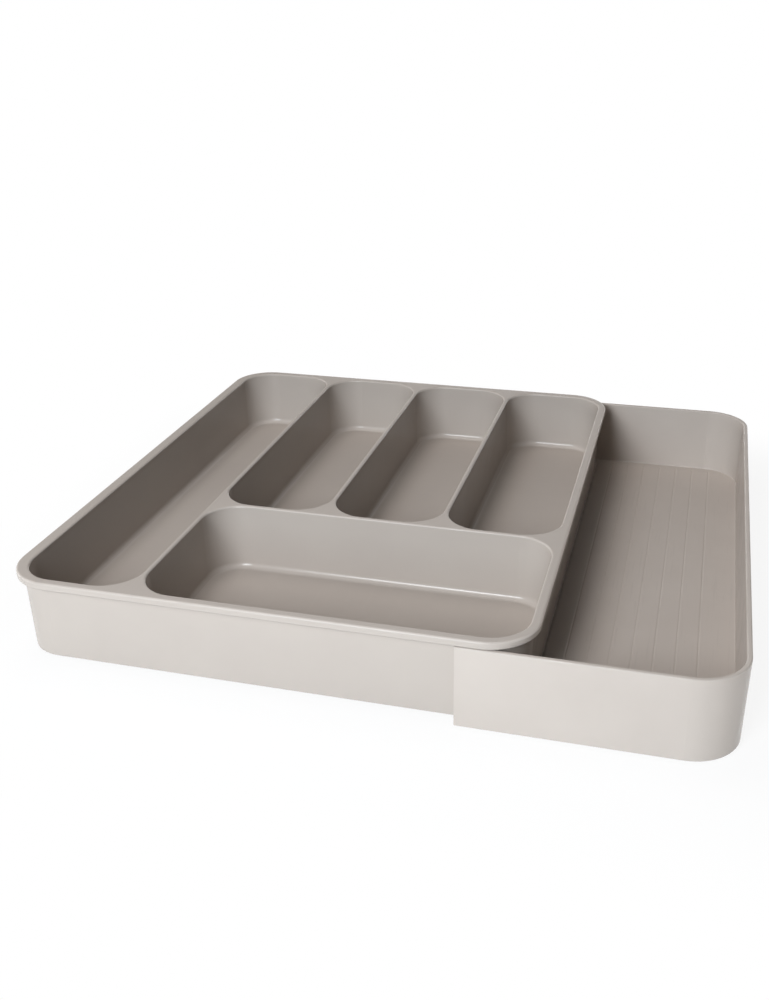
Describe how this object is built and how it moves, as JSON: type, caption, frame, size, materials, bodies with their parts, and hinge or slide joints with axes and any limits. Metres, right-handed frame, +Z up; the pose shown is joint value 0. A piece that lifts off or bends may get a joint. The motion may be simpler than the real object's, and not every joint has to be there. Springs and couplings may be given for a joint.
{
  "type": "expanding cutlery tray",
  "caption": "Drawer tray for cutlery with a long pocket, a wide front pocket and narrow back pockets, and a U-shaped grooved extension that slides out sideways.",
  "frame": {"origin": "bottom centre of the tray's box with the extension fully pulled out, on the surface it stands on", "axes": "+X right, the way the extension pulls out; +Y to the back, away from the wide front pocket; +Z up"},
  "size_m": [0.4207, 0.39, 0.0563],
  "materials": {
    "tray_plastic": "satin warm grey moulded plastic",
    "foot_rubber": "matt soft rubber"
  },
  "bodies": {
    "main": {"main_tray": "tray_plastic", "main_foot_front": "foot_rubber", "main_foot_back": "foot_rubber"},
    "extension": {"extension_tray": "tray_plastic", "extension_foot_front_left": "foot_rubber", "extension_foot_back_left": "foot_rubber", "extension_foot_front_right": "foot_rubber", "extension_foot_back_right": "foot_rubber"}
  },
  "joints": [
    {"name": "extension_slide", "type": "slide", "parent": "main", "child": "extension", "axis": [1, 0, 0], "range_m": [-0.1079, 0]}
  ]
}
